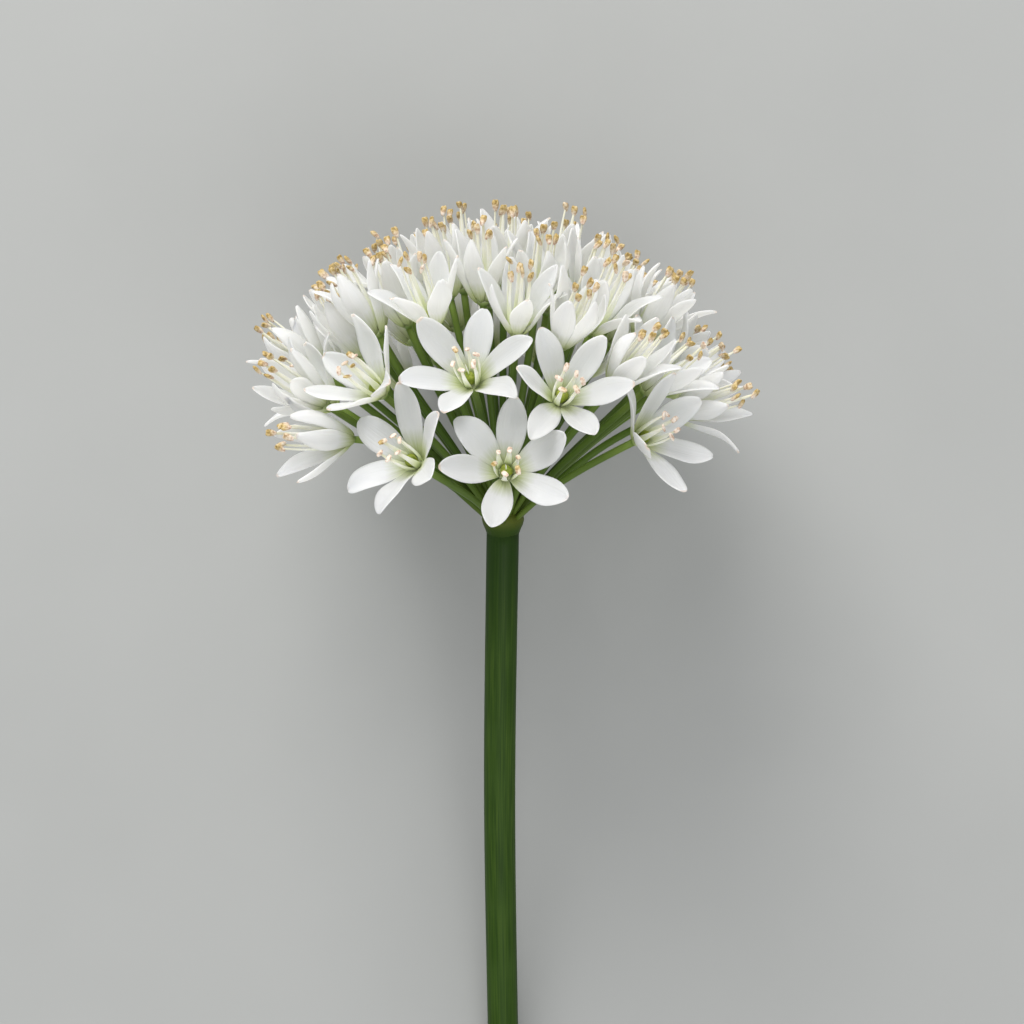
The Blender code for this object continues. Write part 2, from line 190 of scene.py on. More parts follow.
def read_tepal(points, middle_turn):
    """The tepal of the solid near this turn: its tip is the outermost pair of points there."""
    nearby = [point for point in points if abs(turn_between(turn_of(point), middle_turn)) < TEPAL_STEP / 2]
    widest = max(angle_from_axis(point) for point in nearby)
    outer = [point for point in nearby if angle_from_axis(point) > TIP_SHARE * widest]
    outer.sort(key=lambda point: -point.length)
    tip = (outer[0] + outer[1]) / 2
    out = math.hypot(tip.x, tip.y) - TEPAL_ROOT[0]
    along = tip.z - TEPAL_ROOT[1]
    opening = math.degrees(math.atan2(out, along))
    half_bend = tepal_bend(opening) / 2
    length = math.hypot(out, along) * half_bend / math.sin(half_bend)
    return Tepal(turn_of(tip), opening, length)


def give_room(tepals):
    """Each tepal has half the turn to its nearer neighbour to itself."""
    for i, tepal in enumerate(tepals):
        before = (tepal.turn - tepals[i - 1].turn) % 360
        after = (tepals[(i + 1) % TEPALS].turn - tepal.turn) % 360
        tepal.room = min(before, after) / 2


def read_floret(node):
    points = solid_points(node)
    foot, centre = find_foot(points)
    place = floret_place(centre, foot_facing(foot, centre))
    inverse = place.inverted()
    ends = [inverse @ point for point in points]
    ends = [point for point in ends if point.length > TIPS_START]
    first = turn_of(inverse @ foot[0]) + TEPAL_STEP / 2
    tepals = [read_tepal(ends, first + TEPAL_STEP * i) for i in range(TEPALS)]
    tepals.sort(key=lambda tepal: tepal.turn)
    give_room(tepals)
    return Floret(node, place, tepals)


florets = [read_floret(node) for node in FLORET_NODES]
openings = [floret.opening() for floret in florets]
print("the openings run from", round(min(openings)), "to", round(max(openings)), "degrees")

# %% [markdown]
# ## Maps that follow the growth
#
# Every form carries a UV map whose V runs from its root to its tip. The materials read it, so that a
# colour can follow the growth, which a pattern in plain space can't do on tepals that all face another
# way. A number on each point, called Chance, lets neighbours differ.

# %% A form and its maps
GROWTH = "Growth"
CHANCE = "Chance"


def new_form():
    """An empty bmesh with the growth map and the chance number."""
    form = bmesh.new()
    form.loops.layers.uv.new(GROWTH)
    form.verts.layers.float.new(CHANCE)
    return form


def mark_growth(form, lot=0.5):
    """Keeps each point's X and Z as its UV, and the lot as its chance, before the form is bent."""
    growth = form.loops.layers.uv[GROWTH]
    layer = form.verts.layers.float[CHANCE]
    for vertex in form.verts:
        vertex[layer] = lot
    for face in form.faces:
        for loop in face.loops:
            loop[growth].uv = (0.5 + loop.vert.co.x / 2, loop.vert.co.z)


print("maps on every form:", GROWTH, "and", CHANCE)

# %% [markdown]
# ## Four base forms
#
# A blade is a flat grid, which becomes a tepal. A stalk is an upright cone with equal ends, cut into rings
# with subdivide_edges, and becomes a filament, a pedicel or the scape. A ball becomes an anther or an
# ovary. A turned form is a profile that spin takes once round, for the cup and the umbel's centre. All
# stand upright at first, because it is then easy to say where a point at some height goes.

# %% Blade, stalk, ball and turned form
DOUBLES = 1e-7


def blade(columns, rows):
    """A flat upright grid, from -1 to 1 in X and from 0 to 1 in Z."""
    form = new_form()
    bmesh.ops.create_grid(form, x_segments=columns, y_segments=rows, size=1)
    bmesh.ops.rotate(form, verts=form.verts, matrix=Matrix.Rotation(math.radians(90), 3, "X"))
    bmesh.ops.translate(form, verts=form.verts, vec=(0, 0, 1))
    bmesh.ops.scale(form, verts=form.verts, vec=(1, 1, 0.5))
    return form


def stalk(sides, rings):
    """A round upright stalk with a radius of 1 from Z 0 to 1, with closed ends and cut into rings."""
    form = new_form()
    bmesh.ops.create_cone(form, cap_ends=True, segments=sides, radius1=1, radius2=1, depth=1)
    bmesh.ops.translate(form, verts=form.verts, vec=(0, 0, 0.5))
    uprights = [edge for edge in form.edges if abs(edge.verts[0].co.z - edge.verts[1].co.z) > 0.5]
    bmesh.ops.subdivide_edges(form, edges=uprights, cuts=rings - 1)
    return form


def ball(sides, rings):
    """A round ball with a radius of 1 about the origin."""
    form = new_form()
    bmesh.ops.create_uvsphere(form, u_segments=sides, v_segments=rings, radius=1)
    return form


def mark_height(form, low, high):
    """Keeps each point's share of the way from low to high as its UV."""
    growth = form.loops.layers.uv[GROWTH]
    for face in form.faces:
        for loop in face.loops:
            loop[growth].uv = (0.5, (loop.vert.co.z - low) / (high - low))


def turned(profile, sides):
    """A closed round form: the profile, in pairs of radius and height, turned once about Z."""
    form = new_form()
    verts = [form.verts.new((radius, 0, height)) for radius, height in profile]
    edges = [form.edges.new(pair) for pair in zip(verts, verts[1:])]
    bmesh.ops.spin(form, geom=verts + edges, axis=(0, 0, 1), angle=math.tau, steps=sides, use_merge=True)
    bmesh.ops.remove_doubles(form, verts=form.verts, dist=DOUBLES)
    mark_height(form, profile[0][1], profile[-1][1])
    return form


print("base forms:", ", ".join(form.__name__ for form in (blade, stalk, ball, turned)))

# %% [markdown]
# ## Joining forms
#
# A bloom has over twenty forms. They could be built in one bmesh from the start, but the operators would
# then have to be told each time which points are meant. So each is finished on its own and then joined to
# the whole by way of a passing mesh.

# %% Join forms and make a piece


def join_form(whole, form):
    """Adds a finished form, with its faces pointing out, to a whole one."""
    bmesh.ops.recalc_face_normals(form, faces=form.faces)
    mesh = bpy.data.meshes.new("passing")
    form.to_mesh(mesh)
    form.free()
    whole.from_mesh(mesh)
    bpy.data.meshes.remove(mesh)


def add_form(whole, form, slot):
    """Joins a form to a whole one, with one material and smooth faces."""
    for face in form.faces:
        face.material_index = slot
        face.smooth = True
    join_form(whole, form)


def make_piece(name, form, materials):
    """The form as an object at the origin, with these materials."""
    mesh = bpy.data.meshes.new(name)
    form.to_mesh(mesh)
    form.free()
    for surface in materials:
        mesh.materials.append(surface)
    piece = bpy.data.objects.new(name, mesh)
    bpy.context.scene.collection.objects.link(piece)
    return piece


# %% [markdown]
# ## Bending forms
#
# Tepals and filaments bend evenly along their length. A curve with handles could give that, but an arc is
# simpler: it needs only a start, a first angle and how far it turns, and its points follow from two
# formulas.

# %% Arcs, turns and blends


def arc_point(start, lean, bend, length, share):
    """The point and the angle after a share of an arc that starts at lean and turns by bend, in radians."""
    angle = lean + bend * share
    out = (math.cos(lean) - math.cos(angle)) / bend
    along = (math.sin(angle) - math.sin(lean)) / bend
    return Vector((start[0] + out * length, 0, start[1] + along * length)), angle


def turn_about_z(degrees):
    return Matrix.Rotation(math.radians(degrees), 3, "Z")


def blend(start, end, share):
    """The value at a share of the way from start to end."""
    return start + (end - start) * share


quarter, _ = arc_point((0, 0), 0, math.radians(90), 1, 1)
print("a quarter arc of length 1 ends", round(quarter.x, 3), "out and", round(quarter.z, 3), "along")

# %% [markdown]
# ## Painting with nodes
#
# A finish is a small tree of nodes: patterns, ramps of colour, and mixes of them. Written out one by one,
# the nodes would hide what the finish is about. So one class keeps a material and has a short way to add
# each kind of node. All patterns read the growth map, the chance or Object coordinates, never the view.

# %% Paint, a material and its nodes
MIX_FACTOR, MIX_FIRST, MIX_SECOND = 0, 6, 7
MIX_RESULT = 2


class Paint:
    """A material's node tree, with short ways to add the nodes that the finishes here need."""

    def __init__(self, name, roughness):
        self.material = bpy.data.materials.new(name)
        self.material.use_nodes = True
        self.nodes = self.material.node_tree.nodes
        self.links = self.material.node_tree.links
        self.shader = self.nodes["Principled BSDF"]
        self.shader.inputs["Roughness"].default_value = roughness

    def feed(self, socket, value):
        """Links another node's output to the socket, or sets the socket's own number or colour."""
        if isinstance(value, bpy.types.NodeSocket):
            self.links.new(value, socket)
        elif socket.type == "RGBA":
            socket.default_value = (*value, 1)
        else:
            socket.default_value = value

    def node(self, kind, values, **settings):
        made = self.nodes.new(kind)
        for key, value in settings.items():
            setattr(made, key, value)
        for key, value in values.items():
            self.feed(made.inputs[key], value)
        return made

    def growth_map(self):
        return self.node("ShaderNodeUVMap", {}, uv_map=GROWTH).outputs["UV"]

    def growth(self):
        """The share of the way from the root to the tip."""
        return self.node("ShaderNodeSeparateXYZ", {"Vector": self.growth_map()}).outputs["Y"]

    def across(self):
        """The share of the way from one edge to the other."""
        return self.node("ShaderNodeSeparateXYZ", {"Vector": self.growth_map()}).outputs["X"]

    def chance(self):
        return self.node("ShaderNodeAttribute", {}, attribute_name=CHANCE).outputs["Fac"]

    def noise(self, place, scale, detail):
        values = {"Vector": place, "Scale": scale, "Detail": detail}
        return self.node("ShaderNodeTexNoise", values).outputs["Fac"]

    def spots(self, scale, detail=2):
        """Noise in the space of the object, with about this many spots a metre."""
        return self.noise(self.node("ShaderNodeTexCoord", {}).outputs["Object"], scale, detail)

    def streaks(self, lines, rows):
        """Noise drawn out along the growth: so many lines across, and so many rows from root to tip."""
        drawn = self.node("ShaderNodeMapping", {"Vector": self.growth_map(), "Scale": (lines, rows, 1)})
        return self.noise(drawn.outputs["Vector"], 1, 1)

    def ramp(self, factor, stops):
        """A colour for each share: stops are (share, colour) pairs."""
        made = self.node("ShaderNodeValToRGB", {"Fac": factor})
        elements = made.color_ramp.elements
        while len(elements) < len(stops):
            elements.new(0.5)
        for element, (share, colour) in zip(elements, stops):
            element.position = share
            element.color = (*colour, 1)
        return made.outputs["Color"]

    def mix(self, factor, first, second, blend_type="MIX"):
        values = {MIX_FACTOR: factor, MIX_FIRST: first, MIX_SECOND: second}
        made = self.node("ShaderNodeMix", values, data_type="RGBA", blend_type=blend_type)
        return made.outputs[MIX_RESULT]

    def math(self, operation, first, second=0.0):
        return self.node("ShaderNodeMath", {0: first, 1: second}, operation=operation).outputs["Value"]

    def times(self, value, share):
        return self.math("MULTIPLY", value, share)

    def between(self, value, low, high):
        """0 below low, 1 above high, and smooth between them."""
        values = {"Value": value, "From Min": low, "From Max": high}
        made = self.node("ShaderNodeMapRange", values, interpolation_type="SMOOTHSTEP")
        return made.outputs["Result"]

    def colour(self, socket):
        self.links.new(socket, self.shader.inputs["Base Color"])

    def dull(self, level):
        """How much it mirrors: living tissue takes the shine off."""
        self.shader.inputs["Specular IOR Level"].default_value = level

    def rough(self, factor, low, high):
        """A roughness from low to high, as the factor goes from 0 to 1."""
        made = self.node("ShaderNodeMapRange", {"Value": factor, "To Min": low, "To Max": high})
        self.links.new(made.outputs["Result"], self.shader.inputs["Roughness"])

    def bump(self, height, depth, strength):
        made = self.node("ShaderNodeBump", {"Height": height, "Distance": depth, "Strength": strength})
        self.links.new(made.outputs["Normal"], self.shader.inputs["Normal"])

    def glow_through(self, weight, radius, depth):
        """Light that enters and leaves again, as in thin living tissue."""
        self.shader.inputs["Subsurface Weight"].default_value = weight
        self.shader.inputs["Subsurface Radius"].default_value = radius
        self.shader.inputs["Subsurface Scale"].default_value = depth


print("materials before the first finish:", len(bpy.data.materials))

# %% [markdown]
# ## The finish of a tepal
#
# The petals of this flower are tepals: white and a little see-through, with fine veins, a yellow-green
# base and on some a pinkish tip. Plain white would look like paper, so the white differs a little from
# tepal to tepal and carries faint veins. Shade and light are painted in as well: open tepals are painted
# grey-white as if in shade, narrow ones pure white as if lit through, and a painted shade darkens the
# midrib of each cupped tepal. The base is a ramp along the growth,
# and noise frays its edge. Light goes into the tissue and out again, so it takes subsurface scattering.

# %% The finish of a tepal
OPEN_SHADED_WHITE = (0.63, 0.63, 0.615)
NARROW_LIT_WHITE = (0.97, 0.97, 0.94)
MIDRIB_PAINTED_SHADE = (0.66, 0.66, 0.68)
VEIN_TINT = (0.66, 0.70, 0.58)
TIP_STAIN = (0.60, 0.36, 0.22)
BASE_TONES = ((0.05, (0.32, 0.41, 0.11)), (0.17, (0.58, 0.65, 0.33)), (0.40, (1, 1, 1)))
VEINS_ACROSS = 16
VEIN_ROWS = 1.2
FRAY = 0.14
LOT_SPREAD = 7.3


def tepal_white_and_shade(paint):
    """Painted shade and light: grey-white open tepals, pure white narrow ones, and shade along the midrib.
    """
    # painted light and shade: the mask grows with slimness, so narrow tepals are painted whiter than open
    # ones
    white = paint.mix(paint.between(paint.chance(), 0.15, 0.65), OPEN_SHADED_WHITE, NARROW_LIT_WHITE)
    # painted shade: darker along the midrib of the cupped tepal, lighter towards its edges
    off_rib = paint.math("ABSOLUTE", paint.math("SUBTRACT", paint.across(), 0.5))
    shaded = paint.math("SUBTRACT", 1.0, paint.between(off_rib, 0.05, 0.42))
    return paint.mix(paint.times(shaded, 0.22), white, MIDRIB_PAINTED_SHADE)


def tepal_base(paint, veins):
    """Green at the claw, then yellow-green, then white, with an edge that the veins fray."""
    frayed = paint.times(paint.math("SUBTRACT", veins, 0.5), FRAY)
    return paint.ramp(paint.math("ADD", paint.growth(), frayed), BASE_TONES)


def stained_tip(paint):
    """How much of the stain a point takes: only the very tip, and only on some of the tepals."""
    some = paint.math("FRACT", paint.times(paint.chance(), LOT_SPREAD))
    tip = paint.between(paint.growth(), 0.955, 0.995)
    return paint.times(paint.math("MULTIPLY", tip, paint.between(some, 0.45, 0.75)), 0.7)


def tepal_finish():
    paint = Paint("white tepal", 0.5)
    veins = paint.streaks(VEINS_ACROSS, VEIN_ROWS)
    colour = paint.mix(1.0, tepal_white_and_shade(paint), tepal_base(paint, veins), "MULTIPLY")
    colour = paint.mix(paint.times(paint.between(veins, 0.56, 0.68), 0.10), colour, VEIN_TINT)
    paint.colour(paint.mix(stained_tip(paint), colour, TIP_STAIN))
    paint.rough(paint.spots(2500), 0.42, 0.6)
    paint.bump(veins, 0.00006, 0.5)
    paint.glow_through(0.9, (1.0, 0.97, 0.88), 0.0015)
    return paint.material


FLORET_FINISHES = [tepal_finish()]
print("nodes in the tepal's finish:", len(FLORET_FINISHES[0].node_tree.nodes))

# %% [markdown]
# ## The finishes of a stamen
#
# A filament is greenish at its foot and nearly white above, so one ramp along its growth is enough. An
# anther is ochre when it has opened and shows its pollen, and pinkish before. One material does both: the
# chance number decides, and a fine noise breaks the colour up into grains, which would be far too many to
# model.

# %% The finishes of a stamen
FILAMENT_TONES = (
    (0.0, (0.50, 0.58, 0.26)),
    (0.3, (0.78, 0.82, 0.60)),
    (0.65, (0.88, 0.88, 0.80)),
    (1.0, (0.74, 0.72, 0.54)),
)
OCHRE_TONES = ((0.35, (0.28, 0.18, 0.04)), (0.5, (0.52, 0.37, 0.13)), (0.65, (0.68, 0.54, 0.30)))
PINK_TONES = ((0.35, (0.52, 0.34, 0.24)), (0.5, (0.80, 0.66, 0.53)), (0.65, (0.88, 0.80, 0.72)))


def filament_finish():
    paint = Paint("pale filament", 0.45)
    paint.colour(paint.ramp(paint.growth(), FILAMENT_TONES))
    paint.bump(paint.streaks(6, 2), 0.00003, 0.4)
    paint.glow_through(0.3, (1.0, 1.0, 0.6), 0.0004)
    return paint.material


def anther_finish():
    """Ripe anthers are ochre with a pink lower end, and unripe ones are pink all over."""
    paint = Paint("ochre anther", 0.7)
    grains = paint.spots(3500, 3)
    pink = paint.ramp(grains, PINK_TONES)
    ripe = paint.mix(paint.between(paint.growth(), -0.7, 0.5), pink, paint.ramp(grains, OCHRE_TONES))
    paint.colour(paint.mix(paint.between(paint.chance(), 0.4, 0.6), ripe, pink))
    paint.bump(paint.spots(9000), 0.00008, 0.6)
    return paint.material


FLORET_FINISHES += [filament_finish(), anther_finish()]
print("finishes so far:", len(FLORET_FINISHES))

# %% [markdown]
# ## The finishes of the ovary and the cup
#
# The ovary is the darkest spot of a floret, olive green with lighter patches and little shine, because
# its skin is finely grained. The cup below it goes from the pedicel's green to the pale base of the
# tepals, so its ramp ends where theirs begins.

# %% The finishes of the ovary and the cup
OVARY_TONES = ((0.3, (0.13, 0.19, 0.015)), (0.55, (0.27, 0.32, 0.04)), (0.75, (0.42, 0.43, 0.10)))
CUP_TONES = ((0.2, (0.16, 0.27, 0.04)), (0.7, (0.42, 0.52, 0.17)), (1.0, (0.66, 0.72, 0.42)))


def ovary_finish():
    paint = Paint("olive ovary", 0.5)
    paint.dull(0.25)
    paint.colour(paint.ramp(paint.spots(1800, 3), OVARY_TONES))
    paint.bump(paint.spots(6000), 0.00008, 0.4)
    paint.glow_through(0.15, (0.8, 1.0, 0.3), 0.0004)
    return paint.material


def cup_finish():
    paint = Paint("green floret cup", 0.45)
    paint.colour(paint.ramp(paint.growth(), CUP_TONES))
    paint.bump(paint.spots(5000), 0.00005, 0.3)
    return paint.material


FLORET_FINISHES += [ovary_finish(), cup_finish()]
TEPAL, FILAMENT, ANTHER, OVARY, CUP = range(len(FLORET_FINISHES))
print("floret finishes:", len(FLORET_FINISHES))

# %% [markdown]
# ## The finishes of the scape
#
# The scape is the leafless stem. It is dark green and waxy, with streaks along it, and below the head it
# is darkest, with a painted shadow of the head. The wax shows as a faint grey bloom in large patches,
# which also makes it rougher there: one noise drives both. Where it was cut, pale pith shows.

# %% The finishes of the scape
SCAPE_TONES = ((0.3, (0.017, 0.045, 0.002)), (0.55, (0.027, 0.063, 0.004)), (0.8, (0.044, 0.086, 0.008)))
HEAD_SHADOW_GREEN = (0.010, 0.032, 0.001)
WAX_BLOOM = (0.10, 0.17, 0.05)
PITH_TONES = ((0.35, (0.34, 0.45, 0.16)), (0.65, (0.60, 0.68, 0.38)))


def scape_finish():
    paint = Paint("waxy scape", 0.42)
    streak = paint.streaks(20, 7)
    # painted shadow: the scape darkens towards the head, where the head's shadow falls
    head_shadow = paint.between(paint.growth(), 0.80, 0.985)
    green = paint.mix(paint.times(head_shadow, 0.75), paint.ramp(streak, SCAPE_TONES), HEAD_SHADOW_GREEN)
    wax = paint.between(paint.spots(140, 4), 0.42, 0.75)
    paint.colour(paint.mix(paint.times(wax, 0.10), green, WAX_BLOOM))
    paint.rough(wax, 0.48, 0.62)
    paint.bump(streak, 0.00005, 0.5)
    paint.dull(0.15)
    return paint.material


def cut_finish():
    paint = Paint("cut pith", 0.6)
    paint.colour(paint.ramp(paint.spots(2600, 4), PITH_TONES))
    paint.bump(paint.spots(5200), 0.0001, 0.7)
    return paint.material


STEM_FINISHES = [scape_finish(), cut_finish()]
print("finishes of the scape:", len(STEM_FINISHES))

# %% [markdown]
# ## The finishes of the pedicels and the umbel's centre
#
# The pedicels are lighter than the scape and turn paler towards their florets. Each takes its own share
# of a lighter green, so that the crowd of them doesn't melt into one. The umbel's centre begins as dark as
# the scape's top, in the same painted shadow of the head, and ends in the pedicels' green, so no seam
# shows at either side.

# %% The finishes of the pedicels and the umbel's centre
PEDICEL_TONES = (
    (0.0, (0.090, 0.130, 0.012)),
    (0.3, (0.050, 0.095, 0.008)),
    (0.8, (0.070, 0.125, 0.012)),
    (1.0, (0.210, 0.300, 0.055)),
)
PEDICEL_LIGHT = (0.17, 0.25, 0.045)
PEDICEL_DARK = (0.06, 0.12, 0.02)
UMBEL_GREENS_AND_SHADOW = ((0.1, (0.012, 0.040, 0.001)), (0.3, (0.022, 0.058, 0.003)), (0.6, (0.085, 0.110, 0.012)))
UMBEL_PATCH = (0.05, 0.06, 0.006)


def pedicel_finish():
    paint = Paint("green pedicel", 0.42)
    lighter = paint.times(paint.between(paint.chance(), 0.2, 0.9), 0.35)
    green = paint.mix(lighter, paint.ramp(paint.growth(), PEDICEL_TONES), PEDICEL_LIGHT)
    paint.dull(0.2)
    paint.colour(paint.mix(paint.times(paint.spots(900), 0.3), green, PEDICEL_DARK))
    paint.bump(paint.spots(4000), 0.00004, 0.4)
    return paint.material


def umbel_finish():
    paint = Paint("umbel centre", 0.5)
    patches = paint.times(paint.spots(1500, 3), 0.4)
    # painted shadow: the ramp starts in the head's shadow green of the scape's top
    paint.colour(paint.mix(patches, paint.ramp(paint.growth(), UMBEL_GREENS_AND_SHADOW), UMBEL_PATCH))
    paint.dull(0.15)
    paint.bump(paint.spots(3500), 0.0001, 0.5)
    return paint.material


STEM_FINISHES += [pedicel_finish(), umbel_finish()]
SCAPE, CUT, PEDICEL, UMBEL = range(len(STEM_FINISHES))
print("stem finishes:", len(STEM_FINISHES))

# %% [markdown]
# ## What chance gives a tepal
#
# No two tepals are alike. Each could be shaped by hand, but there are hundreds, so each draws its own
# width, hollow, twist, curl and ripple from one seeded source of chance, which gives the same flower each
# time. A tepal that opens wide is broad and flat, and one that stands up is slim and twists more.

# %% Draw a tepal's own shape
SEED = 11
dice = random.Random(SEED)
FULLY_NARROW = 30
TEPAL_SLIM_FROM = 58


@dataclass
class TepalShape:
    """What chance gives one tepal: how slim it is, and its width, hollow, twist, curl and ripple."""

    slim: float
    width: float
    hollow: float
    twist: float
    curl: float
    ripple: float
    phase: float


def narrowness(opening, start):
    """0 where the opening is the start or more, in degrees, and 1 where it is fully narrow."""
    return min(max((start - opening) / (start - FULLY_NARROW), 0), 1)


def draw_tepal_shape(tepal):
    slim = narrowness(tepal.opening, TEPAL_SLIM_FROM)
    return TepalShape(
        slim=slim,
        width=dice.uniform(0.92, 1.04) - 0.24 * slim,
        hollow=dice.uniform(0.14, 0.34) + 0.06 * slim,
        twist=math.radians(dice.uniform(-9, 9) * (1 + 1.6 * slim)),
        curl=dice.uniform(-0.007 - 0.003 * slim, 0.009),
        ripple=dice.uniform(0.04, 0.13),
        phase=dice.uniform(0, 1),
    )


print("tepals to draw:", TEPALS * len(florets))

# %% [markdown]
# ## The form of a tepal
#
# A real tepal is a thin spoon: narrow at its root, widest just past its middle, blunt at its tip, hollowed
# along the midrib and turned up at its edges. A few functions say where a point of the flat blade goes:
# along the arc that the solid has, outwards by the outline, and up or down by the hollow, the groove over
# the midrib, the curled tip and the rippled edge.

# %% Where a tepal's points go
SIDEWAYS = Vector((0, 1, 0))
TEPAL_HALF_WIDTH = 0.00158
EDGE_ROOM = 1.5
CLAW_SHARE = 0.07
CLAW_ROOT = Vector((0.00040, 0, 0.00005))
POINTED_FROM = 0.6
POINTED_BY = 0.30
HOLLOW_LEVEL = 0.35
RIB_GROOVE = 0.00009
CURL_FROM = 0.62
RIPPLES = 1.6
RIPPLE_SKEW = 0.2


def tepal_line(tepal, share):
    """The point and the angle of a tepal's midrib: a short claw out of the cup, then the solid's arc."""
    bend = tepal_bend(tepal.opening)
    lean = math.radians(tepal.opening) - bend / 2
    if share >= CLAW_SHARE:
        return arc_point(TEPAL_ROOT, lean, bend, tepal.length, (share - CLAW_SHARE) / (1 - CLAW_SHARE))
    root = Vector((TEPAL_ROOT[0], 0, TEPAL_ROOT[1]))
    return CLAW_ROOT.lerp(root, share / CLAW_SHARE), lean


def tepal_half_width(tepal, shape, share, outline, from_axis):
    """Half the width at a share of the length, which ends where the neighbours' room begins."""
    room = from_axis * math.tan(math.radians(tepal.room + EDGE_ROOM))
    pointed = 1 - POINTED_BY * shape.slim * max(share - POINTED_FROM, 0) / (1 - POINTED_FROM)
    return min(TEPAL_HALF_WIDTH * shape.width * outline * pointed, room)


def tepal_lift(shape, half, share, across):
    """How far a point rises to the inside of the floret."""
    hollow = half * shape.hollow * (across * across - HOLLOW_LEVEL)
    groove = RIB_GROOVE * (1 - abs(across)) ** 3
    curl = shape.curl * max(share - CURL_FROM, 0) ** 2
    wave = math.sin(math.tau * (share * RIPPLES + shape.phase + across * RIPPLE_SKEW))
    return hollow - groove + curl + half * shape.ripple * abs(across) * wave


def tepal_point(tepal, shape, share, outline, across):
    """Where a point of the blade goes, for its share of the length and its place across, -1 to 1."""
    middle, lean = tepal_line(tepal, share)
    half = tepal_half_width(tepal, shape, share, outline, middle.x)
    inward = Vector((-math.cos(lean), 0, math.sin(lean)))
    twisted = shape.twist * share
    across_way = SIDEWAYS * math.cos(twisted) + inward * math.sin(twisted)
    inward_way = inward * math.cos(twisted) - SIDEWAYS * math.sin(twisted)
    lift = tepal_lift(shape, half, share, across)
    return turn_about_z(tepal.turn) @ (middle + across_way * half * across + inward_way * lift)


tip, _ = tepal_line(florets[0].tepals[0], 1)
print("the first tepal's tip is", round(1000 * tip.x, 1), "mm out and", round(1000 * tip.z, 1), "mm up")

# %% [markdown]
# ## Build a tepal
#
# The outline is a short list of widths along the length, with more of them where it changes fast. The
# blade's rows move to those shares, its points go to their places, and solidify gives it a thickness. The
# blade has few faces, because there are hundreds of tepals: the subdivision at the end rounds them all.

# %% Build a tepal
TEPAL_THICKNESS = 0.00016
BLADE_COLUMNS = 4
TEPAL_OUTLINE = (
    (0.00, 0.36),
    (0.09, 0.42),
    (0.22, 0.64),
    (0.38, 0.87),
    (0.55, 1.00),
    (0.70, 0.98),
    (0.84, 0.80),
    (0.94, 0.50),
    (1.00, 0.16),
)


def add_tepal(whole, tepal):
    shape = draw_tepal_shape(tepal)
    rows = len(TEPAL_OUTLINE) - 1
    form = blade(BLADE_COLUMNS, rows)
    row = {vertex: TEPAL_OUTLINE[round(vertex.co.z * rows)] for vertex in form.verts}
    for vertex, (share, _) in row.items():
        vertex.co.z = share
    # slim tepals get a higher lot, which the finish paints whiter as painted light
    mark_growth(form, (dice.random() + shape.slim) / 2)
    for vertex, (share, outline) in row.items():
        vertex.co = tepal_point(tepal, shape, share, outline, vertex.co.x)
    bmesh.ops.recalc_face_normals(form, faces=form.faces)
    bmesh.ops.solidify(form, geom=form.faces, thickness=TEPAL_THICKNESS)
    add_form(whole, form, TEPAL)


print("a tepal's blade has", BLADE_COLUMNS * (len(TEPAL_OUTLINE) - 1), "faces")

# %% [markdown]
# ## The filaments
#
# Before each tepal stands a stamen. Its filament is like a narrow strap, broad at its foot. In the wide
# florets of the rim the stamens stay inside the star, and in the narrow ones of the top they reach out
# past the tepals. A curve object with a round profile would be equally thick both ways, so a stalk is
# flattened and bent instead, with its own width and thickness at each height.

# %% Filaments
STAMEN_LEAN = 0.34
STAMEN_BEND = -1.2
STAMEN_ROOT = (0.00066, 0.0004)
FILAMENT_SIDES = 6
FILAMENT_RINGS = 5
FILAMENT_WIDTHS = (0.00050, 0.00014)
FILAMENT_THICKNESSES = (0.00014, 0.00011)
FILAMENT_TAPER = 0.9


def stamen_frame(tepal, length, share):
    """The matrix at a share of a filament: Z along it, and X to its side."""
    lean = math.radians(tepal.opening * STAMEN_LEAN)
    middle, angle = arc_point(STAMEN_ROOT, lean, STAMEN_BEND * lean, length, share)
    ahead = Vector((math.sin(angle), 0, math.cos(angle)))
    turned_to = Matrix((SIDEWAYS, ahead.cross(SIDEWAYS), ahead)).transposed()
    return turn_about_z(tepal.turn).to_4x4() @ Matrix.Translation(middle) @ turned_to.to_4x4()


def add_filament(whole, tepal, length):
    form = stalk(FILAMENT_SIDES, FILAMENT_RINGS)
    mark_growth(form)
    for vertex in form.verts:
        share = vertex.co.z
        wide = blend(*FILAMENT_WIDTHS, share**FILAMENT_TAPER)
        thick = blend(*FILAMENT_THICKNESSES, share**FILAMENT_TAPER)
        flat = Vector((vertex.co.x * wide, vertex.co.y * thick, 0))
        vertex.co = stamen_frame(tepal, length, share) @ flat
    add_form(whole, form, FILAMENT)


print("a filament's foot is", round(FILAMENT_WIDTHS[0] / FILAMENT_WIDTHS[1], 1), "times as wide as its tip")

# %% [markdown]
# ## The anthers
#
# An anther is two sacs side by side, fixed at its middle to the tip of the filament, so it may lie across
# it at any angle. In narrow florets it still stands along the filament, and its sacs part at the upper
# end. A ball with a groove pressed into it gives both sacs at once, where two balls would need twice the
# faces.

# %% Anthers and whole stamens
STAMEN_LENGTH = 0.0042
STAMEN_REACH = 0.0039
STAMEN_NARROW_FROM = 50
ANTHER_SIZE = (0.00030, 0.00024, 0.00058)
ANTHER_FLARE = 0.45
ANTHER_SIDES = 8
ANTHER_RINGS = 6
GROOVE_WIDTH = 0.35
GROOVE_DEPTH = 0.35
NOTCH_DEPTH = 0.30


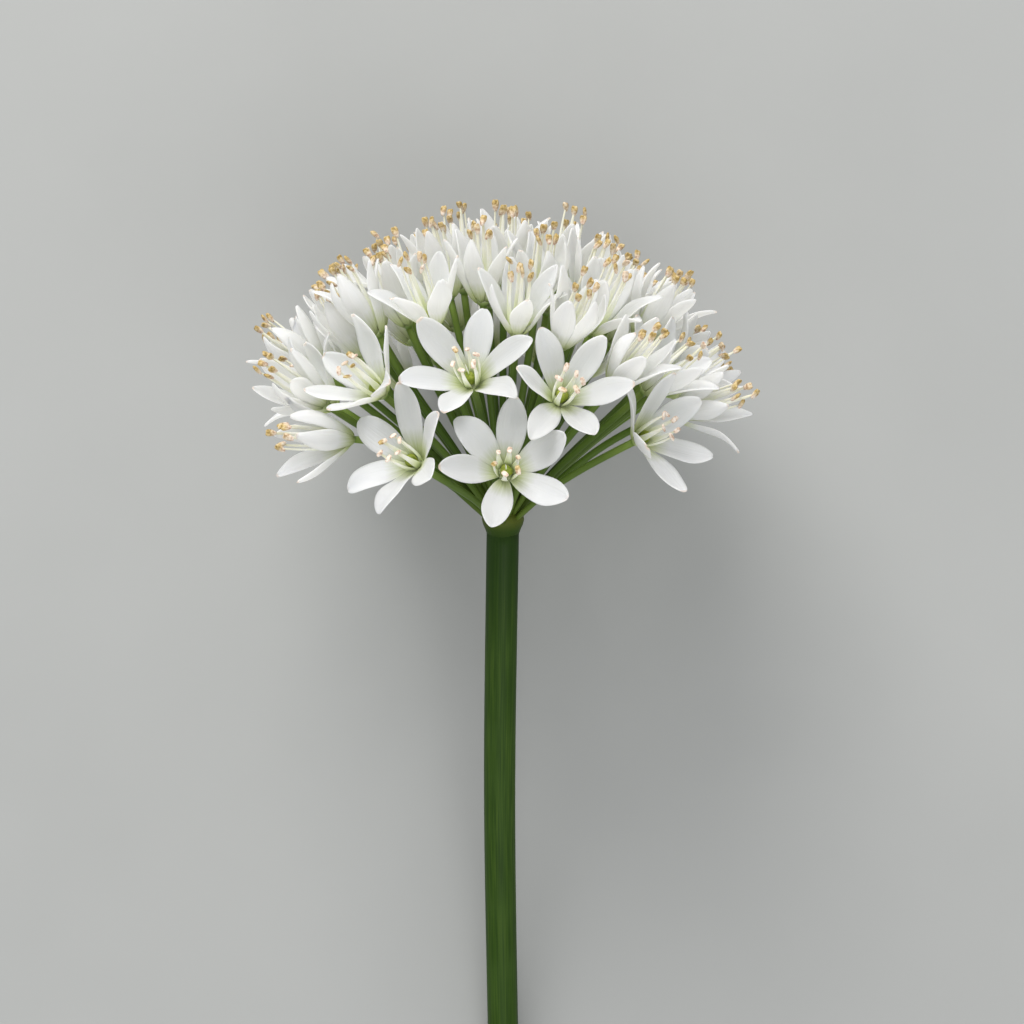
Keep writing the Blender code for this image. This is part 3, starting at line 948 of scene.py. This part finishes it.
def anther_swing(narrow):
    """How an anther is turned on its filament: across it on open florets, nearly along it on narrow."""
    lying = dice.uniform(40, 85) * (1 - narrow) + dice.uniform(5, 40) * narrow
    across = Matrix.Rotation(math.radians(dice.choice((-1, 1)) * lying), 4, "X")
    return Matrix.Rotation(math.radians(dice.uniform(0, 360)), 4, "Z") @ across


def anther_point(point, narrow, size):
    """Where a point of the ball goes: a groove down the middle, and on narrow florets a flared end."""
    across, deep, along = point
    groove = math.exp(-((across / GROOVE_WIDTH) ** 2))
    across *= 1 + ANTHER_FLARE * along * narrow
    deep *= 1 - GROOVE_DEPTH * groove
    along *= 1 - NOTCH_DEPTH * groove * abs(along)
    return Vector([value * length * size for value, length in zip((across, deep, along), ANTHER_SIZE)])


def add_anther(whole, tepal, length, narrow):
    form = ball(ANTHER_SIDES, ANTHER_RINGS)
    mark_growth(form, dice.random() * (1 - 0.5 * narrow) + 0.25 * (1 - narrow))
    swing = anther_swing(narrow)
    size = dice.uniform(0.85, 1.05) + 0.30 * narrow
    place = stamen_frame(tepal, length, 1) @ swing
    for vertex in form.verts:
        vertex.co = place @ anther_point(vertex.co, narrow, size)
    add_form(whole, form, ANTHER)


def add_stamen(whole, floret, tepal):
    narrow = narrowness(floret.opening(), STAMEN_NARROW_FROM)
    length = STAMEN_LENGTH * dice.uniform(0.88, 1.06)
    length += STAMEN_REACH * narrow * dice.uniform(0.55, 1)
    before = Tepal(tepal.turn + dice.uniform(-6, 6), tepal.opening, tepal.length)
    add_filament(whole, before, length)
    add_anther(whole, before, length, narrow)


print("stamens of open florets are about", round(1000 * STAMEN_LENGTH, 1), "mm long")

# %% [markdown]
# ## The ovary and its style
#
# In the middle sits the ovary, round and green with three lobes, and a thin style stands on it. The lobes
# come from a ball whose radius swings three times on the way round, which is smoother than three balls
# pushed together.

# %% Ovary and style
OVARY_SIDES = 12
OVARY_RINGS = 7
OVARY_RADIUS = 0.00066
OVARY_FOOT = 0.0003
OVARY_HEIGHT = 0.0017
OVARY_LOBES = 3
LOBE_DEPTH = 0.15
OVARY_FLATTENING = 0.12
STYLE_SIDES = 5
STYLE_RINGS = 2
STYLE_LENGTH = 0.0018
STYLE_RADIUS = 0.00011
STYLE_START = 0.8
STYLE_TAPER = 0.4
STYLE_BOW = 0.0002


def add_ovary(whole):
    form = ball(OVARY_SIDES, OVARY_RINGS)
    mark_growth(form)
    for vertex in form.verts:
        across, beside, along = vertex.co
        out = OVARY_RADIUS * (1 + LOBE_DEPTH * math.cos(OVARY_LOBES * math.atan2(beside, across)))
        height = (along * (1 - OVARY_FLATTENING * max(along, 0)) + 1) / 2
        vertex.co = Vector((across * out, beside * out, OVARY_FOOT + height * OVARY_HEIGHT))
    add_form(whole, form, OVARY)


def add_style(whole):
    form = stalk(STYLE_SIDES, STYLE_RINGS)
    mark_growth(form)
    foot = OVARY_FOOT + OVARY_HEIGHT * STYLE_START
    bow = Vector((dice.uniform(-STYLE_BOW, STYLE_BOW), dice.uniform(-STYLE_BOW, STYLE_BOW), 0))
    for vertex in form.verts:
        share = vertex.co.z
        round_part = Vector((vertex.co.x, vertex.co.y, 0)) * STYLE_RADIUS * (1 - STYLE_TAPER * share)
        vertex.co = round_part + bow * share * share + Vector((0, 0, foot + share * STYLE_LENGTH))
    add_form(whole, form, FILAMENT)


print("the style ends", round(1000 * (OVARY_FOOT + OVARY_HEIGHT * STYLE_START + STYLE_LENGTH), 1), "mm up")

# %% [markdown]
# ## The cup
#
# The cup is where the pedicel widens to hold the tepals, the stamens and the ovary. It is round, so its
# profile is turned once about the axis with spin. A squeezed ball would do from far, but its rim would
# be too soft.

# %% Cup
CUP_SIDES = 12
CUP_PROFILE = (
    (0.0, -0.00036),
    (0.00034, -0.00034),
    (0.00042, -0.00012),
    (0.00066, 0.00010),
    (0.00080, 0.00034),
    (0.00066, 0.00046),
    (0.0, 0.00042),
)


def add_cup(whole):
    add_form(whole, turned(CUP_PROFILE, CUP_SIDES), CUP)


print("the cup is", round(2000 * max(radius for radius, _ in CUP_PROFILE), 2), "mm wide")

# %% [markdown]
# ## Whole blooms
#
# A floret is now put together about the Z axis, then one matrix takes it to its place on the flower. The
# lowest florets lie on the table, where real tepals give way. Soft bodies could be simulated, but for
# tips it is enough to draw the lowest millimetre of the bloom up evenly. Last, one subdivision rounds
# all its forms.

# %% Build the blooms
PRESSED = 0.0010
CLEAR_OF_TABLE = 0.00005


def lay_on_table(form):
    """Draws the lowest millimetre up evenly, where it would reach under the table."""
    lowest = min(vertex.co.z for vertex in form.verts)
    if lowest > CLEAR_OF_TABLE:
        return
    for vertex in form.verts:
        share = (vertex.co.z - lowest) / (PRESSED - lowest)
        if share < 1:
            vertex.co.z = blend(CLEAR_OF_TABLE, PRESSED, share)


def build_form(floret):
    """All forms of a floret in one bmesh, in its place on the flower."""
    whole = new_form()
    for tepal in floret.tepals:
        add_tepal(whole, tepal)
        add_stamen(whole, floret, tepal)
    add_ovary(whole)
    add_style(whole)
    add_cup(whole)
    bmesh.ops.transform(whole, matrix=floret.place, verts=whole.verts)
    lay_on_table(whole)
    return whole


def build_bloom(floret):
    piece = make_piece(floret.node.replace("floret", "bloom"), build_form(floret), FLORET_FINISHES)
    rounding = piece.modifiers.new("Rounding", "SUBSURF")
    rounding.levels = rounding.render_levels = 1
    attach(piece, "root")
    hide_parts(floret.node)
    return piece


blooms = [build_bloom(floret) for floret in florets]
print("blooms:", len(blooms), "faces in one before rounding:", len(blooms[0].data.polygons))

# %% [markdown]
# ## The scape
#
# The scape is a nearly straight stalk with three faint ribs and a clean cut at its foot. A curve object
# with a bevel would give a plain round tube. Here an upright stalk is laid along a Bezier line, because
# that leaves its radius free at each share and angle, for the ribs. The cut face is inset, so that the
# skin shows as a thin rim round the pith.

# %% Scape
STEM_TOP_RADIUS = 0.00165
STEM_BOW = 0.0005
SCAPE_SIDES = 24
SCAPE_RINGS = 48
RIBS = 3
RIB_HEIGHT = 0.03
RIB_TWIST = 2
SKIN = 0.0002
PITH_DEPTH = 0.00008


def follow(path, across, share):
    """The point, the side and the upward direction at a share of a path."""
    here = round(share * (len(path) - 1))
    ahead = (path[min(here + 1, len(path) - 1)] - path[max(here - 1, 0)]).normalized()
    up = ahead.cross(across).normalized()
    return path[here], up.cross(ahead), up


def lay_along(form, path, across, radius_at):
    """Lays an upright stalk along a path, with the radius that radius_at gives for a share and an angle."""
    for vertex in form.verts:
        x, y, share = vertex.co
        point, side, up = follow(path, across, share)
        vertex.co = point + (side * x + up * y) * radius_at(share, math.atan2(y, x))


def scape_radius(share, angle):
    radius = blend(STEM_RADIUS, STEM_TOP_RADIUS, share)
    return radius * (1 - RIB_HEIGHT / 2 + RIB_HEIGHT / 2 * math.cos(RIBS * angle + RIB_TWIST * share))


def cut_foot(form):
    """Gives the lowest end of the scape a thin rim of skin round its pith."""
    cut_end = min(form.faces, key=lambda face: face.calc_center_median().y)
    bmesh.ops.inset_region(form, faces=[cut_end], thickness=SKIN, depth=-PITH_DEPTH)
    cut_end.material_index = CUT
    cut_end.smooth = False


def add_scape(whole):
    foot = Vector((0, -STEM_LENGTH, 0))
    bow = Vector((-STEM_BOW, -STEM_LENGTH / 2, 0))
    path = interpolate_bezier(foot, bow, bow, Vector(), SCAPE_RINGS + 1)
    form = stalk(SCAPE_SIDES, SCAPE_RINGS)
    mark_growth(form)
    lay_along(form, path, Vector((1, 0, 0)), scape_radius)
    for face in form.faces:
        face.material_index = SCAPE
        face.smooth = True
    cut_foot(form)
    join_form(whole, form)


print("the scape is", round(1000 * STEM_LENGTH, 1), "mm long and", round(2000 * STEM_RADIUS, 1), "mm thick")

# %% [markdown]
# ## The umbel's centre
#
# On top of the scape all pedicels spring from one small dome, hardly wider than the stem. It is a turned
# form that starts inside the scape, so no gap shows, and it is tipped over to point up the stem.

# %% Umbel's centre
UMBEL_SIDES = 20
UMBEL_PROFILE = (
    (0.0, -0.0010),
    (0.00150, -0.0009),
    (0.00163, -0.0005),
    (0.00178, -0.0001),
    (0.00200, 0.0004),
    (0.00212, 0.0009),
    (0.00205, 0.0014),
    (0.00165, 0.0019),
    (0.00090, 0.0023),
    (0.0, 0.0025),
)


def add_umbel(whole):
    form = turned(UMBEL_PROFILE, UMBEL_SIDES)
    bmesh.ops.rotate(form, verts=form.verts, matrix=Matrix.Rotation(math.radians(-90), 3, "X"))
    add_form(whole, form, UMBEL)


print("the umbel's centre is", round(2000 * max(radius for radius, _ in UMBEL_PROFILE), 1), "mm wide")

# %% [markdown]
# ## The pedicels
#
# A pedicel carries one floret. It leaves the dome along its own direction, rises a little and then swings
# to meet its floret square on. A straight rod would meet most florets at a slant, while a Bezier curve
# with two handles gives the swing with little work: one handle points out of the dome, and the other
# points back from the floret's foot.

# %% Pedicels
PEDICEL_SIDES = 8
PEDICEL_RINGS = 16
PEDICEL_RADIUS = 0.00036
PEDICEL_FOOT_RADIUS = 0.00027
PEDICEL_START = 0.00175
PEDICEL_SEAT = 0.0003
PEDICEL_RISE = Vector((0, 0.2, 0))


def pedicel_path(centre, facing):
    """Points from inside the umbel's centre to the foot of the floret's cup, in the flower's frame."""
    outwards = centre.normalized()
    start = outwards * PEDICEL_START
    end = centre - facing * PEDICEL_SEAT
    third = centre.length / 3
    rising = (outwards + PEDICEL_RISE).normalized()
    return interpolate_bezier(start, start + rising * third, end - facing * third, end, PEDICEL_RINGS + 1)


def pedicel_radius(share, _):
    """Thinner at its foot, and even from its middle on."""
    return blend(PEDICEL_FOOT_RADIUS, PEDICEL_RADIUS, min(share * 2, 1))


def add_pedicel(whole, floret):
    place = LAID_DOWN.inverted() @ floret.place
    path = pedicel_path(place.translation, (place.to_3x3() @ Vector((0, 0, 1))).normalized())
    form = stalk(PEDICEL_SIDES, PEDICEL_RINGS)
    mark_growth(form, dice.random())
    lay_along(form, path, (path[-1] - path[0]).orthogonal(), pedicel_radius)
    add_form(whole, form, PEDICEL)


print("pedicels:", len(florets), "each", round(2000 * PEDICEL_RADIUS, 2), "mm thick")

# %% [markdown]
# ## One green piece
#
# The scape, the dome and the pedicels grew as one piece, so they stay one object, with a material for
# each of them. They are built upright in the flower's own frame, and one matrix lays them down.

# %% Build the stem with its pedicels


def build_stem():
    whole = new_form()
    add_scape(whole)
    add_umbel(whole)
    for floret in florets:
        add_pedicel(whole, floret)
    bmesh.ops.transform(whole, matrix=LAID_DOWN, verts=whole.verts)
    piece = make_piece("green_stem_and_pedicels", whole, STEM_FINISHES)
    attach(piece, "root")
    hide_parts(STEM_NODE)
    return piece


stem = build_stem()
print("faces of the stem and the pedicels:", len(stem.data.polygons))

# %% [markdown]
# ## The table
#
# White florets need a ground that is pale but clearly darker than they are: one square of a dull, nearly
# even grey. It belongs to the stage and not to the flower, so it is left out of the flower's body.

# %% Table
TABLE_HALF = 1.5
TABLE_TONES = ((0.3, (0.37, 0.377, 0.368)), (0.7, (0.39, 0.397, 0.388)))


def table_finish():
    paint = Paint("pale table", 0.85)
    paint.colour(paint.ramp(paint.spots(30, 3), TABLE_TONES))
    return paint.material


form = bmesh.new()
bmesh.ops.create_grid(form, x_segments=1, y_segments=1, size=TABLE_HALF)
table = make_piece("table", form, [table_finish()])
print("the table is", 2 * TABLE_HALF, "metres wide")

# %% [markdown]
# ## The lights
#
# A flower in the open has the sky above it. One large soft light comes from beyond the head, as that sky
# does for the florets on top, a smaller share fills from the camera's side, and the world adds an even
# glow. Small lights would be easier to place, but they would throw hard shadows from tepal to tepal.

# %% Lights
HEAD = UMBEL_CENTRE + UP_THE_STEM * 0.015
GLOW_COLOUR = (0.97, 0.98, 1.0, 1)
GLOW_STRENGTH = 0.66


def add_light(name, place, size, power, colour):
    """A round soft light that is turned to the flower's head."""
    lamp = bpy.data.lights.new(name, "AREA")
    lamp.shape = "DISK"
    lamp.size = size
    lamp.energy = power
    lamp.color = colour
    light = bpy.data.objects.new(name, lamp)
    light.location = place
    light.rotation_euler = (HEAD - Vector(place)).to_track_quat("-Z", "Y").to_euler()
    bpy.context.scene.collection.objects.link(light)


def add_world_glow():
    world = bpy.data.worlds.new("even glow")
    world.use_nodes = True
    background = world.node_tree.nodes["Background"]
    background.inputs["Color"].default_value = GLOW_COLOUR
    background.inputs["Strength"].default_value = GLOW_STRENGTH
    bpy.context.scene.world = world


add_light("sky light", place=(-0.16, 0.46, 0.34), size=0.40, power=3.0, colour=(1.0, 0.985, 0.96))
add_light("fill light", place=(0.10, -0.30, 0.52), size=0.45, power=1.0, colour=(1.0, 1.0, 0.99))
add_world_glow()
bpy.context.scene.view_settings.view_transform = "Standard"
print("lights:", len(bpy.data.lights))

# %% [markdown]
# ## The camera
#
# The camera looks down on the flower and leans a little towards its stem. A long lens from farther away
# keeps the front florets from looking too large. Its distance follows from the width that the frame
# should show: the head fills half of it.

# %% Camera
FRAME_WIDTH = 0.1024
LENS = 120
SENSOR = 36
AIM = (0.0009, 0.0016)
CAMERA_LEAN = math.radians(2.8)
NEAREST_SEEN = 0.01


def add_camera():
    camera = bpy.data.objects.new("camera", bpy.data.cameras.new("camera"))
    camera.data.lens = LENS
    camera.data.sensor_width = SENSOR
    camera.data.clip_start = NEAREST_SEEN
    camera.data.clip_end = 1000 * NEAREST_SEEN
    leaning = Matrix.Translation(UMBEL_CENTRE) @ Matrix.Rotation(CAMERA_LEAN, 4, "X")
    camera.matrix_world = leaning @ Matrix.Translation((*AIM, FRAME_WIDTH * LENS / SENSOR))
    bpy.context.scene.collection.objects.link(camera)
    return camera


bpy.context.scene.camera = add_camera()
print("the camera stands", round(FRAME_WIDTH * LENS / SENSOR, 3), "metres above the umbel's centre")
